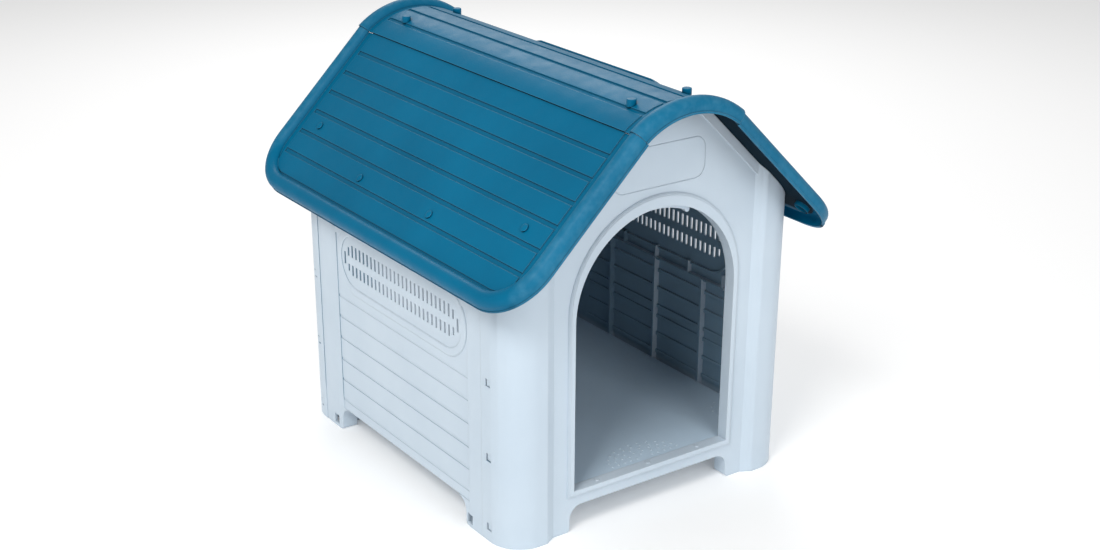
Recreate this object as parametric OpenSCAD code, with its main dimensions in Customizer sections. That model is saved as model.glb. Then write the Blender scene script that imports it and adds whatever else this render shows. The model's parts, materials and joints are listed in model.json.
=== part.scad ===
// Knock-down plastic kennel: six snap-together wall and floor mouldings under
// a three-piece plank roof that is held by push-in pegs and pins.
// Frame: millimetres, +Z up, origin on the ground at the middle of the footprint,
// doorway facing -Y.

/* [Walls] */
// Outer face of the side walls, from the middle
wall_x = 301; // [296:1:306]
// Middle of the walls, measured from the middle of the roof
mid_y = -8; // [-10:1:0]
// Flat face of the doorway wall, from the middle of the walls
wall_y = 346; // [344:1:350]
// Face of the back wall, from the middle of the walls
back_wall_y = 355; // [350:1:360]
// Wall thickness of the mouldings
skin = 3; // [2.5:0.1:3.5]
// Joint line between side walls and corner columns, from the middle of the walls
seam_y = 274; // [272:1:276]
// How far the front columns stand out past the doorway wall
column_bulge = 11; // [8:1:12]
// Depth of the bearing flanges under the roof
flange_depth = 36; // [34:1:38]

/* [Doorway] */
// Half width of the doorway
door_half = 167; // [150:1:170]
// Height of the arch centre
door_arch_z = 383; // [360:1:390]
// Top of the door sill
door_sill_z = 78; // [76:1:82]
// Width of the raised moulding beside the straight jambs
door_jamb_w = 12; // [10:1:14]
// Width of the raised moulding over the crown of the arch
door_crown_w = 22; // [18:1:24]

/* [Feet] */
// Height of the gap under the walls, between the feet
foot_gap_z = 48; // [44:1:52]
// Half width of the gap between the front feet
foot_gap_x = 173; // [165:1:176]
// Half width of the gap between the side feet
foot_gap_y = 217; // [212:1:220]
// How far that gap sits off the middle of the side wall
foot_gap_shift = 5; // [0:1:6]
// Corner radius of the gaps
foot_gap_r = 25; // [20:1:30]
// Rounding of the lower corners of the feet
foot_end_r = 7; // [4:1:8]

/* [Roof] */
// Slope of the roof, degrees below horizontal
slope = 44.4; // [44:0.1:45]
// Distance between plank grooves
plank = 45.7; // [45:0.1:46]
// Outer radius of the ridge cap's plank surface
cap_r = 166.6; // [166:0.1:168]
// Height of the ridge cap's arc centre
cap_z = 571.6; // [570:0.1:573]
// Thickness of the plank field
plate = 4; // [3.6:0.1:4.2]
// Half the length of the roof
roof_y = 435.5; // [432:0.5:438]
// Width of the round roll along the edges
roll_w = 30; // [28:1:32]
// Height of the roll above the planks
roll_rise = 12; // [10:0.5:14]
// Width of the flat band between planks and roll at the gables
band_w = 16; // [14:1:22]
// How far the band lies below the planks
band_drop = 1.5; // [1:0.1:2]
// Depth of the skirt below the plank surface
skirt_drop = 14; // [12:1:18]
// Corner radius at the eaves
eave_r = 98; // [90:1:105]

/* [Vents] */
// Half the straight length of a side vent
vent_half = 151.5; // [148:0.5:154]
// Radius of the vent's round ends
vent_r = 64; // [62:1:66]
// Height of the vent's middle
vent_z = 363; // [360:1:368]
// How far the vent and its boards sit off the middle of the side wall
vent_shift = 14; // [0:1:16]
// Distance between slots
slot_pitch = 13.5; // [13:0.1:13.5]
// Width of a slot
slot_w = 5.4; // [5:0.1:6.6]
// Slots in one row
slot_count = 27; // [21:2:27]

/* [Fasteners] */
// Shank radius of the ridge pegs
peg_shank_r = 4.5; // [4:0.1:5]
// Head radius of the ridge pegs
peg_head_r = 8; // [7:0.5:8.5]
// Shank radius of the roof pins
pin_shank_r = 4; // [3.5:0.1:4.5]
// Head radius of the roof pins
pin_head_r = 7.2; // [6.5:0.1:7.5]

/* [Hidden] */
$fn = 96;

body_colour = [0.80, 0.86, 0.91];
roof_colour = [0.10, 0.40, 0.55];

far = 600;                                  // longer than anything it cuts
clear = 0.5;                                // gap between the roof and what it rests on
fit = 0.08;                                 // radial clearance round shanks

// First groove below the ridge cap, on the plank surface of the slope
groove_x = 133;
groove_z = 669;
// Upper end of a slope panel: one plank above that groove
seam_x = groove_x - plank * cos(slope);
seam_z = groove_z + plank * sin(slope);
// From the seam to the outer edge of the eave
panel_s = 7 * plank + roll_w;
field_y = roof_y - roll_w - band_w;         // half length of the plank field
field_s = 7 * plank;                        // where the roll of the eave starts
field_r = 58;                               // rounded corners of the plank field

// Corner column in plan
column_r = 60;
back_column_r = 76;
column_x = wall_x + 1;                      // outermost face of the columns
step_from = 208;                            // where the doorway wall starts to swell
step_to = 228;                              // where the column is fully out

shoulder_r = 35;                            // rounding where wall side meets roof slope
roof_gap = plate + clear;                   // plank surface down to what carries it

// Snap clips that join the walls
clip_z = [27, 158, 294];
clip_w = 14;
clip_y = seam_y + 20;                       // all from the middle of the walls

// Side wall
side_skin = 4.5;
board_half = 220;
board_recess = 1.3;
board_groove_d = 0.9;
board_z = [68, 110, 152, 196, 239, 280];
board_groove_w = 5;
inner_board_z = [88, 126, 163, 184, 222, 259];
rib_y = [-140, 0, 140];
rib_depth = 11;
ledge_z = 283;                              // shelf inside, under the vent
web_y = [-196, -98, 0, 98, 196];            // short webs between shelf and vent
foot_window_w = 17;
foot_window_h = 18;
foot_window_y = 234.5;
foot_window_z = 15;
return_depth = 30;                          // how far the edges of the foot gaps turn inwards
reveal_depth = 18;                          // how far the edge of the doorway turns inwards

// Floor pan
floor_z = 76;
floor_t = 3.5;
floor_half_x = 285;
floor_front = 326.2;                        // from the middle of the walls
floor_back = 318.5;
floor_rim_z = 58;
floor_tab_x = [-128, 1, 23, 143, 160];
leg_x = [250, 283];
leg_y = [232, 290];

// Fastener positions
peg_x = 56;
peg_y = [-347, 339];
pin_s_outer = plank + 160;
pin_s_inner = plank + 212;
pin_y_left = [-330, -104, 128, 340];
pin_y_right = [-340, -144, 88, 330];

// Height of the slope's line over x = 0 when it is moved h along its normal
function apex_z(h) = groove_z + (h + groove_x * sin(slope)) / cos(slope);
// Smooth step from 0 to 1
function ease(t) = t * t * (3 - 2 * t);

// ---------- outlines ----------

// Everything under the roof surface moved h along its normal, seen from the front
module under_roof_2d(h) {
    intersection() {
        union() {
            translate([0, cap_z]) circle(cap_r + h);
            translate([-far, 0]) square([2 * far, cap_z + cap_r * cos(slope)]);
        }
        polygon([
            [0, apex_z(h)],
            [-500, apex_z(h) - 500 * tan(slope)],
            [-500, 0],
            [500, 0],
            [500, apex_z(h) - 500 * tan(slope)]
        ]);
    }
}

// The sharp corner outside a rounded shoulder, to be taken away
module shoulder_waste_2d(x, h, r) {
    z = groove_z + (h - r - (x - r - groove_x) * sin(slope)) / cos(slope);
    translate([x - r, z])
        difference() {
            polygon([[0, 0], [3 * r, 0], [3 * r, 3 * r * tan(90 - slope)]]);
            circle(r);
        }
}

// Front outline of the whole house below the roof
module house_2d(x, h, r) {
    difference() {
        intersection() {
            under_roof_2d(h);
            translate([-x, 0]) square([2 * x, far + 200]);
        }
        shoulder_waste_2d(x, h, r);
        mirror([1, 0]) shoulder_waste_2d(x, h, r);
    }
}

// Extrudes a front outline from y0 to y1
module along_y(y0, y1) {
    translate([0, y1, 0]) rotate([90, 0, 0]) linear_extrude(y1 - y0) children();
}

// Extrudes a side outline, drawn as (y, z), from x0 to x1
module along_x(x0, x1) {
    translate([x0, 0, 0]) rotate([90, 0, 90]) linear_extrude(x1 - x0) children();
}

// Gable wall and both corner columns in plan, with its skin taken t inwards
module gable_plan_2d(face, bulge, r, t) {
    out_y = face + bulge;
    cx = column_x - r;
    cy = out_y - r;
    end = min(step_to, cx);
    n = bulge > 0 ? 8 : 1;
    step = [for (i = [0 : n]) [
        step_from + (end - step_from) * i / n,
        -face - bulge * ease(i / n) + t
    ]];
    for (side = [0, 1])
        mirror([side, 0]) {
            translate([cx, -cy]) circle(r - t);
            translate([end - 1, -out_y + t]) square([cx - end + 1, out_y - seam_y - t]);
            translate([step_from, -cy]) square([column_x - step_from - t, cy - seam_y]);
            polygon(concat([[step_from, -seam_y]], step, [[end, -seam_y]]));
        }
    translate([-step_from - 1, -face + t]) square([2 * step_from + 2, face - seam_y - t]);
}

// Opening between two feet: a gap with rounded upper corners, grown by t
module foot_gap_2d(half, t) {
    w = half + t;
    z = foot_gap_z + t;
    r = foot_gap_r + t;
    translate([-w, -1]) square([2 * w, z - r + 1]);
    translate([-w + r, -1]) square([2 * (w - r), z + 1]);
    for (side = [0, 1])
        mirror([side, 0]) {
            translate([w - r, z - r]) circle(r);
            difference() {
                translate([w - 1, -1]) square([foot_end_r + 1, foot_end_r + 1]);
                translate([w + foot_end_r, foot_end_r]) circle(foot_end_r);
            }
        }
}

module doorway_2d(t) {
    translate([-door_half - t, door_sill_z - t])
        square([2 * (door_half + t), door_arch_z - door_sill_z + t]);
    translate([0, door_arch_z]) circle(door_half + t);
}

// Outline of the moulding round the doorway: wider over the crown than at the jambs
module door_moulding_2d(t) {
    r = door_half + door_jamb_w - t;
    z = door_arch_z + door_crown_w - door_jamb_w;
    translate([-r, door_sill_z - door_jamb_w + t]) square([2 * r, z - door_sill_z + door_jamb_w - t]);
    translate([0, z]) circle(r);
}

module rounded_plate_2d(w, h, r) {
    square([w, h - 2 * r], center = true);
    square([w - 2 * r, h], center = true);
    for (x = [-1, 1], y = [-1, 1]) translate([x * (w / 2 - r), y * (h / 2 - r)]) circle(r);
}

module stadium_2d(half, r) {
    translate([-half, -r]) square([2 * half, 2 * r]);
    for (side = [-1, 1]) translate([side * half, 0]) circle(r);
}

// ---------- gable walls ----------

// What the front and the back wall share, drawn as the front one
module gable_wall(face, bulge, r, pegs, pins) {
    difference() {
        intersection() {
            along_y(-face - bulge - 1, -seam_y) house_2d(column_x, -roof_gap, shoulder_r);
            linear_extrude(far + 200) gable_plan_2d(face, bulge, r, 0);
            union() {
                linear_extrude(far + 200)
                    difference() {
                        gable_plan_2d(face, bulge, r, 0);
                        translate([0, 0.01]) gable_plan_2d(face, bulge, r, skin);
                    }
                along_y(-face - bulge, -face + flange_depth)
                    difference() {
                        house_2d(column_x, -roof_gap, shoulder_r);
                        house_2d(column_x - skin, -roof_gap - skin, shoulder_r - skin);
                    }
                along_y(-face, -face + return_depth)
                    difference() {
                        foot_gap_2d(foot_gap_x, skin);
                        foot_gap_2d(foot_gap_x, 0);
                    }
            }
        }
        along_y(-face - bulge - 1, -face + return_depth + 1) foot_gap_2d(foot_gap_x, 0);
        for (z = clip_z, side = [-1, 1])
            translate([side * column_x, -clip_y, z]) cube([18, clip_w, clip_w], center = true);
        for (i = [0, 1]) {
            side = 2 * i - 1;
            translate([side * peg_x, -pegs, cap_z]) cylinder(r = peg_shank_r + fit, h = cap_r);
            on_slope(side) translate([pin_s_outer, -pins[i], -20]) cylinder(r = pin_shank_r + fit, h = 40);
        }
        plate_field_groove(face);
    }
    gable_edge_strip(face);
}

// Raised band that follows the roof line on the outside of a gable
module gable_edge_strip(face) {
    intersection() {
        along_y(-face - 2.5, -face + 1)
            difference() {
                house_2d(column_x, -roof_gap, shoulder_r);
                house_2d(column_x, -roof_gap - 15, shoulder_r);
            }
        translate([-step_from - 6, -face - 3, cap_z - 60]) cube([2 * step_from + 12, 10, 300]);
    }
}

// Shallow outline of the plain name-plate field on the gable
module plate_field_groove(face) {
    along_y(-face - 1, -face + 1)
        translate([0, 621])
            difference() {
                rounded_plate_2d(190, 73, 22);
                rounded_plate_2d(186, 69, 20);
            }
}

// Moulding and reveal of the doorway, before the doorway itself is cut
module door_frame() {
    // three low steps, so that the edge reads as rounded
    for (step = [[0, 2.2], [1.6, 3.6], [4, 4.5]])
        along_y(-wall_y - step[1], -wall_y + 1) door_moulding_2d(step[0]);
    // reveal that turns inwards round the opening
    along_y(-wall_y - 1, -wall_y + reveal_depth) doorway_2d(skin);
}

// Curved tab with a rolled end under the crown of the doorway
module door_hook() {
    along_y(0, 9)
        intersection() {
            translate([0, door_arch_z])
                difference() {
                    circle(door_half + 1);
                    circle(door_half - 7);
                }
            translate([-8, door_arch_z]) square([78, door_half + 2]);
        }
    translate([67, 0, door_arch_z + sqrt(pow(door_half - 3, 2) - pow(67, 2)) - 2])
        rotate([-90, 0, 0]) cylinder(r = 5, h = 9);
}

module front_panel() {
    color(body_colour)
        translate([0, mid_y, 0]) {
            difference() {
                union() {
                    gable_wall(wall_y, column_bulge, column_r, mid_y - peg_y[0],
                        [mid_y - pin_y_left[0], mid_y - pin_y_right[0]]);
                    door_frame();
                }
                along_y(-wall_y - 5, -wall_y + flange_depth + 1) doorway_2d(0);
            }
            // small hook under the crown of the arch
            translate([0, -wall_y + 8, 0]) door_hook();
            // locating bosses on the sill
            for (x = [-110, 0, 110])
                translate([x, -wall_y + 8, door_sill_z - 1]) cylinder(r = 4, h = 2.2);
        }
}

module back_panel() {
    color(body_colour)
        translate([0, mid_y, 0])
            mirror([0, 1, 0])
                difference() {
                    gable_wall(back_wall_y, 0, back_column_r, peg_y[1] - mid_y,
                        [pin_y_left[3] - mid_y, pin_y_right[3] - mid_y]);
                    // board lines of a plain gable
                    for (i = [0 : 10])
                        along_y(-back_wall_y - 1, -back_wall_y + 1)
                            translate([-190, 96 + 42 * i]) square([380, board_groove_w]);
                }
}

// ---------- side walls ----------

module vent_slots_2d() {
    // slots get shorter where the round ends close in
    for (i = [-(slot_count - 1) / 2 : (slot_count - 1) / 2])
        let (end = abs(i) > (slot_count - 3) / 2 ? 6 : 0) {
            translate([i * slot_pitch, 7 + (23 - end) / 2]) square([slot_w, 23 - end], center = true);
            translate([i * slot_pitch, -8 - (20 - end) / 2]) square([slot_w, 20 - end], center = true);
        }
    for (side = [-1, 1])
        translate([side * (slot_count + 1) / 2 * slot_pitch, 0]) square([slot_w, 24], center = true);
}

// Convex strip beside the board field
module side_margin(y0, y1) {
    swell_r = 300;
    mid = (y0 + y1) / 2;
    intersection() {
        translate([wall_x + 1.5 - swell_r, mid, 0]) cylinder(r = swell_r, h = far, $fn = 360);
        translate([wall_x - side_skin, y0, 0]) cube([side_skin + 2, y1 - y0, far]);
    }
}

// One snap tongue that reaches into a column and shows in its window
module snap_tongue(z) {
    inner = wall_x - side_skin;
    translate([inner - 5, seam_y - 8, z - 8]) cube([6, 7.4, 16]);
    translate([inner - 5, seam_y - 8, z - 8]) cube([3.5, 32, 16]);
    translate([inner - 4, clip_y - 5, z - 5.5]) cube([7.5, 10, 11]);
}

// The right side wall; the left one is the same moulding turned round
module side_wall() {
    difference() {
        intersection() {
            along_y(-seam_y - 30, seam_y + 30) house_2d(column_x, -roof_gap, shoulder_r);
            union() {
                translate([wall_x - side_skin, -seam_y + 0.4, 0])
                    cube([side_skin, 2 * seam_y - 0.8, far]);
                side_margin(-seam_y + 0.4, vent_shift - board_half);
                side_margin(vent_shift + board_half, seam_y - 0.4);
                side_ledges();
                translate([0, vent_shift, 0]) side_vent_border();
                for (z = clip_z, side = [0, 1]) mirror([0, side, 0]) snap_tongue(z);
            }
        }
        // board field with its grooves
        translate([0, vent_shift, 0]) {
            along_x(wall_x - board_recess, wall_x + 5)
                difference() {
                    translate([-board_half, foot_gap_z])
                        square([2 * board_half, vent_z + 40 - foot_gap_z]);
                    translate([0, vent_z]) stadium_2d(vent_half, vent_r + 1);
                }
            for (z = board_z)
                along_x(wall_x - board_recess - board_groove_d, wall_x)
                    translate([-board_half, z - board_groove_w / 2])
                        square([2 * board_half, board_groove_w]);
            translate([0, 0, vent_z]) {
                along_x(wall_x - 1, wall_x + 9) stadium_2d(vent_half, vent_r - 14);
                along_x(wall_x - 20, wall_x + 9) vent_slots_2d();
            }
        }
        along_x(wall_x - return_depth - 5, wall_x + 5)
            translate([foot_gap_shift, 0]) foot_gap_2d(foot_gap_y, 0);
        for (side = [-1, 1])
            translate([wall_x, side * foot_window_y, foot_window_z])
                cube([14, foot_window_w, foot_window_h], center = true);
        for (i = [1, 2])
            on_slope(1)
                translate([pin_s_inner, pin_y_right[i] - mid_y, -20])
                    cylinder(r = pin_shank_r + fit, h = 40);
    }
}

// Inner edges of the side wall: bearing flange, foot returns, ribs and vent ledge
module side_ledges() {
    inner = wall_x - side_skin;
    intersection() {
        along_y(-seam_y + 0.4, seam_y - 0.4)
            difference() {
                house_2d(column_x, -roof_gap, shoulder_r);
                house_2d(wall_x - side_skin, -roof_gap - skin, shoulder_r - skin);
            }
        translate([wall_x - 40, -seam_y, 300]) cube([40, 2 * seam_y, 300]);
    }
    along_x(wall_x - return_depth, wall_x - 1)
        translate([foot_gap_shift, 0])
            difference() {
                foot_gap_2d(foot_gap_y, skin);
                foot_gap_2d(foot_gap_y, 0);
            }
    translate([0, vent_shift, 0]) {
        for (y = rib_y)
            translate([inner - rib_depth, y - 3, foot_gap_z + 2]) cube([rib_depth + 1, 6, 236]);
        translate([inner - rib_depth + 2, -vent_half - 50, ledge_z])
            cube([rib_depth, 2 * vent_half + 100, 4]);
        for (y = web_y)
            translate([inner - rib_depth + 2, y - 1.5, ledge_z + 3]) cube([rib_depth, 3, 24]);
        for (z = inner_board_z)
            translate([inner - 3.5, -board_half, z - 3.5]) cube([4, 2 * board_half, 7]);
    }
}

// Cross-section of the round border of the vent: x outwards from the oval's
// middle line, y out of the wall
module vent_roll_2d() {
    intersection() {
        translate([vent_r - 6.5, -6.6]) circle(9.4);
        translate([vent_r - 14, -2.5]) square([16, 8]);
    }
}

// Raised oval border of the vent, outside and inside
module side_vent_border() {
    translate([wall_x, 0, vent_z])
        rotate([90, 0, 90])
            for (side = [0, 1]) {
                mirror([side, 0, 0])
                    translate([vent_half, 0, 0])
                        rotate([0, 0, -90])
                            rotate_extrude(angle = 180) vent_roll_2d();
                mirror([0, side, 0])
                    translate([-vent_half, 0, 0])
                        rotate([90, 0, 90])
                            linear_extrude(2 * vent_half) vent_roll_2d();
            }
    translate([0, 0, vent_z]) {
        along_x(wall_x - side_skin - 4, wall_x - 2)
            difference() {
                stadium_2d(vent_half, vent_r - 4);
                stadium_2d(vent_half, vent_r - 8);
            }
        // pip on the bar between the two rows
        translate([wall_x - 2, 0, 0]) rotate([0, 90, 0]) cylinder(r = 2.6, h = 2.6);
    }
}

module left_side_panel() {
    color(body_colour) translate([0, mid_y, 0]) rotate([0, 0, 180]) side_wall();
}

module right_side_panel() {
    color(body_colour) translate([0, mid_y, 0]) side_wall();
}

// ---------- floor ----------

module floor_pan() {
    length = floor_front + floor_back;
    color(body_colour)
        translate([0, mid_y, 0]) {
            difference() {
                // flat top with a turned-down edge
                translate([-floor_half_x, -floor_front, floor_rim_z])
                    cube([2 * floor_half_x, length, floor_z - floor_rim_z]);
                translate([-floor_half_x + skin, -floor_front + skin, 0])
                    cube([2 * (floor_half_x - skin), length - 2 * skin, floor_z - floor_t]);
            }
            // stiffening ribs underneath
            for (x = [-150, 0, 150])
                translate([x - 1.5, -floor_front + 1, floor_rim_z + 1]) cube([3, length - 2, 15]);
            for (y = [-165, 0, 165])
                translate([-floor_half_x + 1, y - 1.5, floor_rim_z + 1])
                    cube([2 * floor_half_x - 2, 3, 15]);
            for (a = [0, 1], b = [0, 1]) mirror([a, 0, 0]) mirror([0, b, 0]) floor_leg();
            floor_grip();
            // locating tabs on the edge behind the sill
            for (x = floor_tab_x)
                translate([x - 2, -floor_front - 1.2, floor_z - 12]) cube([4, 2, 12]);
        }
}

// Hollow leg that stands inside a corner of the walls
module floor_leg() {
    w = leg_x[1] - leg_x[0];
    d = leg_y[1] - leg_y[0];
    difference() {
        translate([leg_x[0], leg_y[0], 0]) cube([w, d, floor_z - 1]);
        translate([leg_x[0] + skin, leg_y[0] + skin, skin]) cube([w - 2 * skin, d - 2 * skin, floor_z - skin - floor_t]);
    }
}

// Anti-slip pips in fans just inside the doorway and in both front corners
module floor_grip() {
    for (r = [14 : 12 : 62])
        for (i = [0 : floor(r / 5)])
            let (a = 180 * i / floor(r / 5))
                translate([12 + r * 1.15 * cos(a), -floor_front + 12 + r * 0.8 * sin(a), floor_z - 0.2])
                    cylinder(r1 = 2.4, r2 = 1.4, h = 1.2, $fn = 6);
    for (side = [-1, 1], r = [14 : 12 : 50])
        for (i = [0 : floor(r / 6)])
            let (a = -90 + 180 * i / floor(r / 6))
                translate([side * (272 - r * cos(a)), -265 + r * sin(a), floor_z - 0.2])
                    cylinder(r1 = 2.4, r2 = 1.4, h = 1.2, $fn = 6);
}

// ---------- roof ----------

// Moves its children into the frame of a slope: x down the slope from the seam,
// z along the outward normal; side is 1 for the right slope and -1 for the left
module on_slope(side) {
    mirror([side < 0 ? 1 : 0, 0, 0])
        translate([seam_x, 0, seam_z])
            rotate([0, slope, 0])
                children();
}

// Flat-bottomed plank groove across the x direction, to be taken away
module plank_groove() {
    translate([0, field_y + 1, 0])
        rotate([90, 0, 0])
            linear_extrude(2 * field_y + 2)
                polygon([[-4.7, 0.5], [-4.5, 0], [-3.6, -2.8], [3.6, -2.8], [4.5, 0], [4.7, 0.5]]);
}

// Cross-section of the edge roll: x outwards from its inner foot, y along the
// normal; a half-round crest, a skirt and a thin lip at the foot of the skirt
module roll_2d() {
    r = roll_w / 2;
    mid = roll_rise - r;
    deep = skirt_drop + 10;
    difference() {
        union() {
            translate([r, mid]) circle(r);
            translate([r, -skirt_drop]) square([r, skirt_drop + mid]);
            translate([roll_w - skin, -skirt_drop]) square([skin + 1.5, 3.5]);
        }
        translate([r, mid]) circle(r - skin);
        translate([skin, -deep]) square([roll_w - 2 * skin, deep + mid]);
        translate([-1, -deep]) square([skin + 2, deep - plate - 0.3]);
    }
}

// Plan of a slope panel inside a line w inside its outer edge, with corners of radius r
module slope_2d(w, r) {
    s = panel_s - w;
    y = roof_y - w;
    translate([0, -y + r]) square([s, 2 * (y - r)]);
    translate([0, -y]) square([s - r, 2 * y]);
    for (side = [-1, 1]) translate([s - r, side * (y - r)]) circle(r);
}

// The right slope in its own frame, with its pin holes at the given y
module slope_panel(pin_y) {
    corner = panel_s - eave_r;
    difference() {
        union() {
            // band that carries the roll, and the planks on it
            translate([0, 0, -plate])
                intersection() {
                    linear_extrude(plate - band_drop) slope_2d(roll_w - 1.5, eave_r - roll_w + 1.5);
                    translate([0, -far, -1]) cube([2 * far, 2 * far, 20]);
                }
            translate([0, 0, -plate + 0.5])
                linear_extrude(plate - 0.5)
                    intersection() {
                        translate([-4, 0]) slope_2d(roll_w, field_r);
                        translate([0, -field_y]) square([field_s, 2 * field_y]);
                    }
            // roll along both gables, round the corners and along the eave
            for (side = [0, 1])
                mirror([0, side, 0]) {
                    translate([0, roof_y - roll_w, 0])
                        rotate([90, 0, 90]) linear_extrude(corner) roll_2d();
                    translate([corner, roof_y - eave_r, 0])
                        rotate_extrude(angle = 90) translate([eave_r - roll_w, 0]) roll_2d();
                }
            translate([field_s, roof_y - eave_r, 0])
                rotate([90, 0, 0]) linear_extrude(2 * (roof_y - eave_r)) roll_2d();
            for (y = [-250, -125, 0, 125, 250])
                translate([8, y - 1.5, -plate - 9]) cube([200, 3, 10]);
            for (side = [0, 1]) mirror([0, side, 0]) slope_corner_ring();
        }
        for (i = [1 : 6]) translate([i * plank, 0, 0]) plank_groove();
        for (i = [0 : 3])
            translate([i == 0 || i == 3 ? pin_s_outer : pin_s_inner, pin_y[i], -20])
                cylinder(r = pin_shank_r, h = 40);
    }
}

// Stiffening ring under the overhang near an eave corner
module slope_corner_ring() {
    translate([field_s - 35, field_y - 14, -plate - 8])
        difference() {
            cylinder(r = 14, h = 9.5);
            translate([0, 0, -1]) cylinder(r = 12, h = 12);
        }
}

module left_roof_panel() {
    color(roof_colour) on_slope(-1) slope_panel(pin_y_left);
}

module right_roof_panel() {
    color(roof_colour) on_slope(1) slope_panel(pin_y_right);
}

module ridge_cap() {
    color(roof_colour)
        difference() {
            union() {
                translate([0, 0, cap_z])
                    rotate([90, 0, 0])
                        rotate([0, 0, 40])
                            rotate_extrude(angle = 100)
                                cap_section_2d();
                ridge_grip();
            }
            // grooves between the five planks
            for (i = [-1.5 : 1.5])
                translate([0, 0, cap_z])
                    rotate([0, i * 180 * plank / PI / cap_r * 0.976, 0])
                        translate([0, 0, cap_r])
                            plank_groove();
            // everything below the seams
            for (side = [-1, 1])
                on_slope(side) translate([-0.4, -far, -100]) cube([200, 2 * far, 200]);
            for (x = [-peg_x, peg_x], y = peg_y)
                translate([x, y, cap_z]) cylinder(r = peg_shank_r, h = far);
        }
}

// Section of the cap along its axis: x is the radius, y the distance from the middle
module cap_section_2d() {
    band_y = roof_y - roll_w + 1.5;
    translate([cap_r - plate, -band_y]) square([plate - band_drop, 2 * band_y]);
    translate([cap_r - plate + 0.5, -field_y]) square([plate - 0.5, 2 * field_y]);
    for (side = [0, 1])
        mirror([0, side])
            translate([cap_r, roof_y - roll_w]) rotate(-90) mirror([1, 0]) roll_2d();
}

// Low rib along one flank of the cap, for a finger hold
module ridge_grip() {
    translate([0, 0, cap_z])
        rotate([90, 0, 0])
            translate([0, 0, -110])
                rotate([0, 0, 55])
                    rotate_extrude(angle = 7)
                        translate([cap_r - 1, 0])
                            polygon([[0, 0], [0, 350], [1, 350], [5, 335], [5, 15], [1, 0]]);
}

// ---------- fasteners ----------

// Push-in peg: round head that sits on the cap's curve, and a plain shank
module ridge_peg(x, y) {
    top = cap_z + cap_r;
    color(roof_colour)
        translate([x, y, 0]) {
            difference() {
                translate([0, 0, top - 18])
                    rotate_extrude() {
                        square([peg_head_r - 1.5, 18]);
                        square([peg_head_r, 16.5]);
                        translate([peg_head_r - 1.5, 16.5]) circle(1.5);
                    }
                translate([-x, 20, cap_z]) rotate([90, 0, 0]) cylinder(r = cap_r + 0.3, h = 40, $fn = 360);
            }
            translate([0, 0, cap_z + cap_r - 34]) cylinder(r = peg_shank_r, h = 30);
            translate([0, 0, cap_z + cap_r - 37]) cylinder(r1 = peg_shank_r - 1.5, r2 = peg_shank_r, h = 3);
        }
}

// Push-in pin: low domed head on the planks and a shank through the wall's flange
module roof_pin(side, s, y) {
    color(roof_colour)
        on_slope(side)
            translate([s, y, 0]) {
                intersection() {
                    translate([0, 0, 0.02]) cylinder(r = pin_head_r, h = 4.2);
                    translate([0, 0, -11.8]) sphere(16);
                }
                translate([0, 0, -14]) cylinder(r = pin_shank_r - 0.04, h = 15);
                translate([0, 0, -16]) cylinder(r1 = pin_shank_r - 1.2, r2 = pin_shank_r - 0.04, h = 2);
            }
}

module ridge_peg_front_left() { ridge_peg(-peg_x, peg_y[0]); }
module ridge_peg_front_right() { ridge_peg(peg_x, peg_y[0]); }
module ridge_peg_back_left() { ridge_peg(-peg_x, peg_y[1]); }
module ridge_peg_back_right() { ridge_peg(peg_x, peg_y[1]); }
module roof_pin_left_front() { roof_pin(-1, pin_s_outer, pin_y_left[0]); }
module roof_pin_left_mid_front() { roof_pin(-1, pin_s_inner, pin_y_left[1]); }
module roof_pin_left_mid_back() { roof_pin(-1, pin_s_inner, pin_y_left[2]); }
module roof_pin_left_back() { roof_pin(-1, pin_s_outer, pin_y_left[3]); }
module roof_pin_right_front() { roof_pin(1, pin_s_outer, pin_y_right[0]); }
module roof_pin_right_mid_front() { roof_pin(1, pin_s_inner, pin_y_right[1]); }
module roof_pin_right_mid_back() { roof_pin(1, pin_s_inner, pin_y_right[2]); }
module roof_pin_right_back() { roof_pin(1, pin_s_outer, pin_y_right[3]); }

front_panel();
back_panel();
left_side_panel();
right_side_panel();
floor_pan();
left_roof_panel();
right_roof_panel();
ridge_cap();
ridge_peg_front_left();
ridge_peg_front_right();
ridge_peg_back_left();
ridge_peg_back_right();
roof_pin_left_front();
roof_pin_left_mid_front();
roof_pin_left_mid_back();
roof_pin_left_back();
roof_pin_right_front();
roof_pin_right_mid_front();
roof_pin_right_mid_back();
roof_pin_right_back();
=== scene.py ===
# %% [markdown]
# # A plastic kennel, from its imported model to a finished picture
# The kennel is moulded in polypropylene: pale walls that snap together, a floor pan
# that lifts out, and a blue plank-pattern roof in three parts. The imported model
# already holds every moulding, peg and foot at its true size, so this script keeps
# those meshes as they are. It gives each of them its plastic, and then adds a camera,
# a studio floor and lamps.

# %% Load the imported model
import json
import math

import bpy
import numpy as np
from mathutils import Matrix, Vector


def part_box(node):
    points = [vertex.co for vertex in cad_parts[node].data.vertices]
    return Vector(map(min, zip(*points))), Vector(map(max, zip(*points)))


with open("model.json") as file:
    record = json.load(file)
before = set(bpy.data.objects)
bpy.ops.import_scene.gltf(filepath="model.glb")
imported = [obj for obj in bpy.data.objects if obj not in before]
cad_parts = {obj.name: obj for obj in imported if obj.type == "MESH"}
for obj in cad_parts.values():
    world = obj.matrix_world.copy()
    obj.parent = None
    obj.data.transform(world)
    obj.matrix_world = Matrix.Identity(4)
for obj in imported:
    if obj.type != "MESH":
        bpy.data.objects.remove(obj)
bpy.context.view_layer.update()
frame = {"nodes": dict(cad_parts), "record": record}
nodes = frame["nodes"]

# %% [markdown]
# ## Camera
# Everything is judged from one three-quarter view, so the camera comes first. It is a
# plain, slightly long lens a little over three metres away, and it looks at a point low
# on the kennel. Its shift raises the frame until the whole kennel sits in the middle of
# it. Turning the camera up would do that too, but it would change how the uprights lean.

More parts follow.
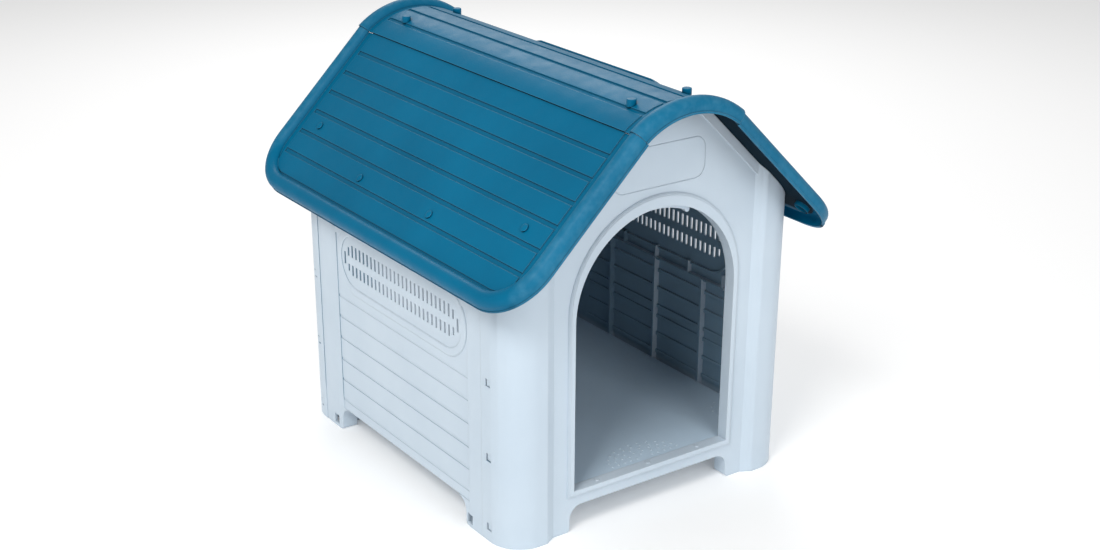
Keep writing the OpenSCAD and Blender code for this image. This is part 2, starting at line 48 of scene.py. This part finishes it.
# %% Camera
LENS_MM = 55.71
SENSOR_MM = 36.0
CAMERA_AT = (-1.6577, -2.3870, 1.4687)
LOOK_DOWN = 23.729
LOOK_ACROSS = 34.705
SHIFT = (0.01603, 0.05629)


def make_camera():
    """A camera looking down by LOOK_DOWN degrees, turned LOOK_ACROSS to the right of +Y."""
    data = bpy.data.cameras.new("camera")
    data.sensor_width = SENSOR_MM
    data.lens = LENS_MM
    data.shift_x, data.shift_y = SHIFT
    camera = bpy.data.objects.new("camera", data)
    camera.location = CAMERA_AT
    camera.rotation_euler = (math.radians(90 - LOOK_DOWN), 0, math.radians(-LOOK_ACROSS))
    bpy.context.scene.collection.objects.link(camera)
    bpy.context.scene.camera = camera
    return camera


camera = make_camera()
print("camera at", tuple(round(v, 3) for v in camera.location))

# %% [markdown]
# ## Smooth shading for the moulded parts
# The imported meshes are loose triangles, so light would break on every facet of an
# arch. A small geometry-nodes modifier joins the corners, turns on smooth shading,
# and keeps an edge sharp wherever two faces meet at more than a set angle. The mesh
# itself is untouched: only its shading is changed.

# %% Smooth-by-angle modifier
CREASE_DEGREES = 28
JOIN_WITHIN = 0.00002


def crease_group():
    """Node group: merge doubles, shade faces smooth, sharpen edges past the crease angle."""
    group = bpy.data.node_groups.new("crease_shading", "GeometryNodeTree")
    group.interface.new_socket("Mesh", in_out="INPUT", socket_type="NodeSocketGeometry")
    group.interface.new_socket("Mesh", in_out="OUTPUT", socket_type="NodeSocketGeometry")
    add, link = group.nodes.new, group.links.new
    source, result = add("NodeGroupInput"), add("NodeGroupOutput")
    merge = add("GeometryNodeMergeByDistance")
    merge.inputs["Distance"].default_value = JOIN_WITHIN
    smooth = add("GeometryNodeSetShadeSmooth")
    smooth.domain = "FACE"
    sharpen = add("GeometryNodeSetShadeSmooth")
    sharpen.domain = "EDGE"
    sharpen.inputs["Shade Smooth"].default_value = False
    angle = add("GeometryNodeInputMeshEdgeAngle")
    steep = add("FunctionNodeCompare")
    steep.data_type = "FLOAT"
    steep.operation = "GREATER_THAN"
    steep.inputs["B"].default_value = math.radians(CREASE_DEGREES)
    link(source.outputs[0], merge.inputs["Geometry"])
    link(merge.outputs["Geometry"], smooth.inputs["Geometry"])
    link(smooth.outputs["Geometry"], sharpen.inputs["Geometry"])
    link(angle.outputs["Unsigned Angle"], steep.inputs["A"])
    link(steep.outputs["Result"], sharpen.inputs["Selection"])
    link(sharpen.outputs["Geometry"], result.inputs[0])
    return group


crease = crease_group()
for node in nodes.values():
    modifier = node.modifiers.new("crease", "NODES")
    modifier.node_group = crease
print("crease modifier on", len(nodes), "nodes")

# %% [markdown]
# ## The tools for a plastic
# A material is a small tree of nodes, and most of a plastic's tree is four moves made
# again and again: draw a noise, stretch a value to a new range, multiply two values,
# and blend two colours. Each gets a short function, so that the plastic itself can be
# read like a recipe. Every noise is on Object coordinates, so a pattern stays on its
# moulding when the moulding moves. Colours are written as on a screen and turned into
# linear light, because the renderer adds up light and not screen values.

# %% Colours and node helpers
def linear(r, g, b):
    """An sRGB colour of 0 to 255 as linear light: ((c + 0.055) / 1.055) to the power 2.4."""
    c = np.array([r, g, b]) / 255.0
    light = np.where(c <= 0.04045, c / 12.92, ((c + 0.055) / 1.055) ** 2.4)
    return (*light.tolist(), 1.0)


def noise(tree, coords, name, scale, detail):
    """A noise texture on the given coordinates, labelled with what it stands for."""
    n = tree.nodes.new("ShaderNodeTexNoise")
    n.label = name
    n.inputs["Scale"].default_value = scale
    n.inputs["Detail"].default_value = detail
    tree.links.new(coords, n.inputs["Vector"])
    return n.outputs["Fac"]


def ramp(tree, value, source, target=(0.0, 1.0)):
    """Maps the span source of a value to the span target, clamped at both ends."""
    m = tree.nodes.new("ShaderNodeMapRange")
    spans = zip(("From Min", "From Max", "To Min", "To Max"), (*source, *target))
    for socket, number in spans:
        m.inputs[socket].default_value = number
    tree.links.new(value, m.inputs["Value"])
    return m.outputs["Result"]


def math_node(tree, operation, a, b):
    """The result of one operation, such as MULTIPLY, on two values."""
    m = tree.nodes.new("ShaderNodeMath")
    m.operation = operation
    tree.links.new(a, m.inputs[0])
    tree.links.new(b, m.inputs[1])
    return m.outputs[0]


def mix(tree, factor, a, b):
    """Blends a into b by factor; each may be a colour or a socket."""
    m = tree.nodes.new("ShaderNodeMix")
    m.data_type = "RGBA"
    tree.links.new(factor, m.inputs["Factor"])
    for socket, colour in ((m.inputs["A"], a), (m.inputs["B"], b)):
        if isinstance(colour, tuple):
            socket.default_value = colour
        else:
            tree.links.new(colour, socket)
    return m.outputs["Result"]


print("mid grey in linear light:", round(linear(128, 128, 128)[0], 3))

# %% [markdown]
# ## Rubbed and highlighted edges, shaded crevices and relief
# Edges are painted paler, partly as wear from handling and partly as a painted
# highlight, and grooves are painted darker as shade. Edges could be painted by hand,
# but a shader can find them: it compares the true normal with one that is rounded off
# near edges. Crevices are found by asking how much of the sky a point sees within a
# short reach. Relief too fine to model is a bump, which tilts the normal by the slope of
# a noise.

# %% Edges, crevices and bumps
EDGE_RADIUS = 0.0016
EDGE_SAMPLES = 6
EDGE_DOT = (0.995, 0.86)
CREVICE_REACH = 0.010
CREVICE_SAMPLES = 12
CREVICE_OPENNESS = (0.25, 0.85)
BUMP_STRENGTH = 0.35


def edge_wear_and_highlight(tree):
    """0 on flat faces, rising to 1 on edges, where wear and a painted highlight go, with the
    rounded normal that tells them apart: a ramp on the dot of the true and the rounded normal."""
    bevel = tree.nodes.new("ShaderNodeBevel")
    bevel.samples = EDGE_SAMPLES
    bevel.inputs["Radius"].default_value = EDGE_RADIUS
    true = tree.nodes.new("ShaderNodeNewGeometry")
    dot = tree.nodes.new("ShaderNodeVectorMath")
    dot.operation = "DOT_PRODUCT"
    tree.links.new(bevel.outputs["Normal"], dot.inputs[0])
    tree.links.new(true.outputs["Normal"], dot.inputs[1])
    return ramp(tree, dot.outputs["Value"], EDGE_DOT), bevel.outputs["Normal"]


def openness(tree):
    """1 where nothing is near, 0 in a narrow groove: ambient occlusion stretched, the mask for the
    painted shade in grooves.
    """
    reach = tree.nodes.new("ShaderNodeAmbientOcclusion")
    reach.samples = CREVICE_SAMPLES
    reach.inputs["Distance"].default_value = CREVICE_REACH
    return ramp(tree, reach.outputs["AO"], CREVICE_OPENNESS)


def bump(tree, height, normal, depth):
    """Tilts a normal by the slope of a height that is depth metres tall."""
    b = tree.nodes.new("ShaderNodeBump")
    b.inputs["Strength"].default_value = BUMP_STRENGTH
    b.inputs["Distance"].default_value = depth
    tree.links.new(height, b.inputs["Height"])
    tree.links.new(normal, b.inputs["Normal"])
    return b.outputs["Normal"]


print("edges found within", EDGE_RADIUS * 1000, "mm, crevices within", CREVICE_REACH * 1000, "mm")

# %% [markdown]
# ## Sides that the light hardly reaches, where shade is painted
# The inside of the cabin and the underside of the roof are lit only by light that has
# bounced many times, so a darker shade is painted on them. A long-reaching occlusion
# would find them, but it speckles. Which way a face points says the same thing without
# noise: an inner face looks at the middle of the cabin, and an under face looks down.
# Short ramps keep the doorway's reveal, the feet and the round roll along the roof's
# edge out of the painted shade.

# %% Masks for the painted shade on the inner and the under side
CABIN_MIDDLE = (0.0, 0.0, 0.30)
FACING_IN = (-0.02, -0.10)
BEHIND_DOOR = (-0.330, -0.300)
OVER_FLOOR = (0.06, 0.08)
FACING_DOWN = (-0.35, -0.60)
ROLL_WIDTH = 0.033
ROLL_FADE = 0.7
roof_reach = np.abs(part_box("left_roof_panel")).max(axis=0)


def axes_of(tree, vector):
    """The X, Y and Z sockets of a vector."""
    split = tree.nodes.new("ShaderNodeSeparateXYZ")
    tree.links.new(vector, split.inputs[0])
    return split.outputs


def true_normal(tree):
    """The normal of the surface, without any bump."""
    return tree.nodes.new("ShaderNodeNewGeometry").outputs["Normal"]


# The mask for the painted shade on the cabin's inner faces.
def inner_side(tree, coords):
    """1 on faces that look at the middle of the cabin from well inside it, 0 elsewhere:
    the dot of the normal with the arm from the middle to the point is negative there."""
    arm = tree.nodes.new("ShaderNodeVectorMath")
    arm.operation = "SUBTRACT"
    arm.inputs[1].default_value = CABIN_MIDDLE
    tree.links.new(coords, arm.inputs[0])
    facing = tree.nodes.new("ShaderNodeVectorMath")
    facing.operation = "DOT_PRODUCT"
    tree.links.new(arm.outputs["Vector"], facing.inputs[0])
    tree.links.new(true_normal(tree), facing.inputs[1])
    place = axes_of(tree, coords)
    towards = ramp(tree, facing.outputs["Value"], FACING_IN)
    inside = math_node(tree, "MULTIPLY", towards, ramp(tree, place["Y"], BEHIND_DOOR))
    return math_node(tree, "MULTIPLY", inside, ramp(tree, place["Z"], OVER_FLOOR))


def off_roll(tree, coords, axis):
    """0 on the roll along the roof's edge across one axis, 1 inside it: a ramp on the
    absolute X or Y, from the roll's inner side to ROLL_FADE of its width from the edge
    of the roof's box."""
    edge = float(roof_reach["XYZ".index(axis)])
    size = tree.nodes.new("ShaderNodeVectorMath")
    size.operation = "ABSOLUTE"
    tree.links.new(coords, size.inputs[0])
    from_middle = axes_of(tree, size.outputs["Vector"])[axis]
    fade = (edge - ROLL_WIDTH, edge - ROLL_FADE * ROLL_WIDTH)
    return ramp(tree, from_middle, fade, (1.0, 0.0))


# The mask for the painted shade on faces that look down.
def under_side(tree, coords):
    """1 on faces that look down inside the roll, 0 elsewhere: a ramp on the normal's Z."""
    down = ramp(tree, axes_of(tree, true_normal(tree))["Z"], FACING_DOWN)
    across, along = off_roll(tree, coords, "X"), off_roll(tree, coords, "Y")
    return math_node(tree, "MULTIPLY", down, math_node(tree, "MULTIPLY", across, along))


print("roof reaches", [round(float(v), 3) for v in roof_reach[:2]], "m from the middle")

# %% [markdown]
# ## Moulded plastic
# All three finishes are the same family of plastic, so one recipe makes them. The skin
# of a moulding carries the fine spark-eroded grain of its steel tool, its colour drifts
# a little where the melt flowed, and its wide faces sink slightly as they cool. Its edges
# are painted paler, partly as wear and partly as a painted highlight, and the roll over
# the gables gets pale marks that are partly scuff marks from handling and partly a
# painted sheen. Its grooves get a painted shade, and the sides out of the light get a
# darker painted shade and lose their shine.

# %% The plastic recipe
MELT_SPAN = (0.32, 0.72)
# The roll's pale marks are scuff marks and a painted sheen; the edges' pale tone is wear and a
# painted highlight.
SCUFF_SHEEN_SPAN = (0.40, 0.75)
SCUFF_SHEEN_AMOUNT = (0.08, 0.26)
WEAR_HIGHLIGHT_AMOUNT = (0.0, 0.55)
HANDLING_SPAN = (0.3, 0.7)
SMOOTHER, ROUGHER = 0.05, 0.07
HIDDEN_ROUGHNESS = (0.0, 0.85)
SINK_DEPTH = 0.003
WHOLE = (0.0, 1.0)
POLYPROPYLENE_IOR = 1.49


def moulded_plastic(name, tones, hidden, sheened_and_scuffed, shine, roughness, grain):
    """Grained polypropylene in five tones: the colour drifting towards a second tone, a paler
    tone on edges (wear and a painted highlight) that also marks the roll when asked (scuff
    marks and a painted sheen), a painted shade in grooves, and a darker painted shade on
    the side that the mask picks, inner_side or under_side. Grain is the depth in metres and
    the scale of the tool's texture."""
    m = bpy.data.materials.new(name)
    m.use_nodes = True
    tree = m.node_tree
    shader = tree.nodes["Principled BSDF"]
    coords = tree.nodes.new("ShaderNodeTexCoord").outputs["Object"]

    flow = noise(tree, coords, "melt flow", scale=5.0, detail=3.0)
    tone = mix(tree, ramp(tree, flow, MELT_SPAN), tones["colour"], tones["drift"])
    edge, rounded = edge_wear_and_highlight(tree)
    # Paler edges: wear and a painted highlight.
    tone = mix(tree, ramp(tree, edge, WHOLE, WEAR_HIGHLIGHT_AMOUNT), tone, tones["wear_and_highlight"])
    # Pale marks on the roll: scuff marks and a painted sheen.
    if sheened_and_scuffed:
        marks = noise(tree, coords, "scuff_sheen_marks", scale=70.0, detail=6.0)
        scuff_sheen_marks = ramp(tree, marks, SCUFF_SHEEN_SPAN, SCUFF_SHEEN_AMOUNT)
        on_roll = ramp(tree, off_roll(tree, coords, "Y"), WHOLE, (1.0, 0.0))
        tone = mix(tree, math_node(tree, "MULTIPLY", on_roll, scuff_sheen_marks), tone, tones["wear_and_highlight"])
    # Painted shade in the grooves.
    tone = mix(tree, openness(tree), tones["crevice_shade"], tone)
    # Painted shade on the side out of the light.
    in_shade = hidden(tree, coords)
    tone = mix(tree, in_shade, tone, tones["deep"])
    tree.links.new(tone, shader.inputs["Base Color"])

    cloud = noise(tree, coords, "handling", scale=38.0, detail=4.0)
    handled = ramp(tree, cloud, HANDLING_SPAN, (roughness - SMOOTHER, roughness + ROUGHER))
    dull = ramp(tree, in_shade, WHOLE, HIDDEN_ROUGHNESS)
    tree.links.new(math_node(tree, "MAXIMUM", handled, dull), shader.inputs["Roughness"])

    grain_depth, grain_scale = grain
    sinks = noise(tree, coords, "sink marks", scale=22.0, detail=1.0)
    wavy = bump(tree, sinks, rounded, SINK_DEPTH)
    teeth = noise(tree, coords, "tool grain", scale=grain_scale, detail=2.0)
    tree.links.new(bump(tree, teeth, wavy, grain_depth), shader.inputs["Normal"])
    shader.inputs["IOR"].default_value = POLYPROPYLENE_IOR
    shader.inputs["Specular IOR Level"].default_value = shine
    print("made", name, "with", len(tree.nodes), "nodes")
    return m


# %% [markdown]
# ## The walls' plastic
# The walls are a pale blue-grey, close to white on their edges, where wear and a painted
# highlight meet. Their grooves get only a faint painted shade, but their inner faces, seen
# through the doorway, are painted much darker as shade.

# %% Wall plastic
body_plastic = moulded_plastic(
    "body_plastic",
    {
        "colour": linear(202, 216, 228),
        "drift": linear(194, 209, 222),
        # Edges: wear and a painted highlight. Grooves and inner faces: painted shade.
        "wear_and_highlight": linear(222, 232, 240),
        "crevice_shade": linear(190, 204, 217),
        "deep": linear(128, 156, 176),
    },
    hidden=inner_side,
    sheened_and_scuffed=False,
    shine=0.4,
    roughness=0.46,
    grain=(0.0005, 900.0),
)

# %% [markdown]
# ## The roof's plastic
# The roof is a saturated petrol blue with a satin face and a slightly coarser grain.
# Its plank grooves are painted dark as shade, its underside is painted darker still, and
# its edges and roll get a painted highlight and sheen on top of wear and scuff marks. A low
# specular level keeps the colour strong where a slope catches the big lamp.

# %% Roof plastic
roof_plastic = moulded_plastic(
    "roof_plastic",
    {
        "colour": linear(0, 98, 134),
        "drift": linear(0, 108, 146),
        # Edges and roll: wear, scuff marks and a painted highlight. Grooves and underside: painted
        # shade.
        "wear_and_highlight": linear(96, 152, 180),
        "crevice_shade": linear(0, 50, 74),
        "deep": linear(0, 28, 42),
    },
    hidden=under_side,
    sheened_and_scuffed=True,
    shine=0.10,
    roughness=0.40,
    grain=(0.0006, 700.0),
)

# %% [markdown]
# ## The floor pan's plastic
# The pan is the walls' plastic, but almost all of it lies in the cabin, where little
# light arrives. A copy of its own, a little paler on top as painted light and much
# darker in the seam round its edge as painted shade, lets it read as a floor.

# %% Floor pan plastic
floor_plastic_painted_light = moulded_plastic(
    "floor_plastic_painted_light",
    {
        # Paler than the walls' plastic: painted light for the dim cabin.
        "colour": linear(203, 224, 241),
        "drift": linear(196, 217, 234),
        # Edges: wear and a painted highlight. Seam and under faces: painted shade.
        "wear_and_highlight": linear(222, 232, 240),
        "crevice_shade": linear(62, 84, 100),
        "deep": linear(122, 150, 170),
    },
    hidden=under_side,
    sheened_and_scuffed=False,
    shine=0.4,
    roughness=0.42,
    grain=(0.0005, 900.0),
)

# %% [markdown]
# ## Which part is which plastic
# The record names the finish of every node, so the nodes are painted from it. The
# floor pan then gets its own finish, a paler copy with painted light, in place of the walls'.

# %% Paint the nodes
plastics = {"body_plastic": body_plastic, "roof_plastic": roof_plastic}
for part in frame["record"]["subparts"]:
    node = nodes[part["node"]]
    node.data.materials.clear()
    node.data.materials.append(plastics[part["material_slot"]])
# The floor pan takes the paler copy with painted light.
nodes["floor_pan"].data.materials[0] = floor_plastic_painted_light

# %% [markdown]
# ## The floor of the studio
# A moulded product is shown on plain pale paper. One flat square is enough, far larger
# than the view, with a little light of its own so that it stays white behind the
# kennel while its shadows still show.

# %% Studio floor
PAPER_SIZE = 40.0
PAPER_WHITE = (0.93, 0.93, 0.93, 1)
PAPER_ROUGHNESS = 0.9
PAPER_GLOW = 0.17


def studio_floor(size):
    """A square of side size on the ground, in one flat pale finish that glows faintly."""
    half = size / 2
    mesh = bpy.data.meshes.new("studio_floor")
    corners = [(-half, -half, 0), (half, -half, 0), (half, half, 0), (-half, half, 0)]
    mesh.from_pydata(corners, [], [(0, 1, 2, 3)])
    floor = bpy.data.objects.new("studio_floor", mesh)
    bpy.context.scene.collection.objects.link(floor)
    paint = bpy.data.materials.new("studio_paper")
    paint.use_nodes = True
    shader = paint.node_tree.nodes["Principled BSDF"]
    shader.inputs["Base Color"].default_value = PAPER_WHITE
    shader.inputs["Roughness"].default_value = PAPER_ROUGHNESS
    shader.inputs["Emission Color"].default_value = (1, 1, 1, 1)
    shader.inputs["Emission Strength"].default_value = PAPER_GLOW
    mesh.materials.append(paint)
    return floor


floor = studio_floor(PAPER_SIZE)
print(floor.name, "is", PAPER_SIZE, "m wide")

# %% [markdown]
# ## Lamps and surroundings
# An even white room fills every shadow. A large soft key lamp from the upper left
# shapes the columns and the roll of the roof, a wide fill from the front reaches the
# gable and into the doorway, and a lamp from behind on the right lays a sheen on the
# cap. The standard view transform keeps white paper white.

# %% Lamps
KENNEL_MIDDLE = (0.0, 0.0, 0.4)
RIDGE = (0.0, 0.0, 0.7)
WARM_WHITE = (1.0, 0.99, 0.97)
COOL_WHITE = (0.96, 0.98, 1.0)
WHITE = (1.0, 1.0, 1.0)
ROOM_LIGHT = 0.45


def soft_lamp(name, place, aim, size, watts, colour):
    """A square area lamp at place, turned so that its -Z axis points at aim."""
    data = bpy.data.lights.new(name, "AREA")
    data.shape = "SQUARE"
    data.size = size
    data.energy = watts
    data.color = colour
    lamp = bpy.data.objects.new(name, data)
    towards = np.subtract(aim, place)
    flat = math.hypot(towards[0], towards[1])
    lamp.location = place
    lamp.rotation_euler = (math.atan2(flat, -towards[2]), 0, math.atan2(-towards[0], towards[1]))
    bpy.context.scene.collection.objects.link(lamp)
    return lamp


def surroundings(colour, strength):
    """An even world of one colour."""
    world = bpy.data.worlds.new("room")
    world.use_nodes = True
    background = world.node_tree.nodes["Background"]
    background.inputs["Color"].default_value = (*colour, 1.0)
    background.inputs["Strength"].default_value = strength
    bpy.context.scene.world = world


key = soft_lamp("key", (-2.9, -1.7, 3.6), KENNEL_MIDDLE, size=1.6, watts=103.0, colour=WARM_WHITE)
fill = soft_lamp("fill", (-0.4, -4.0, 2.6), KENNEL_MIDDLE, size=2.0, watts=50.0, colour=COOL_WHITE)
glare = soft_lamp("glare", (1.6, 2.6, 2.6), RIDGE, size=2.0, watts=42.0, colour=WHITE)
surroundings(WHITE, ROOM_LIGHT)
bpy.context.scene.view_settings.view_transform = "Standard"
print("lamps:", key.name, fill.name, glare.name)

# %% [markdown]
# ## Done
# The visual model has to stay inside the imported one's box.


print("scene done")
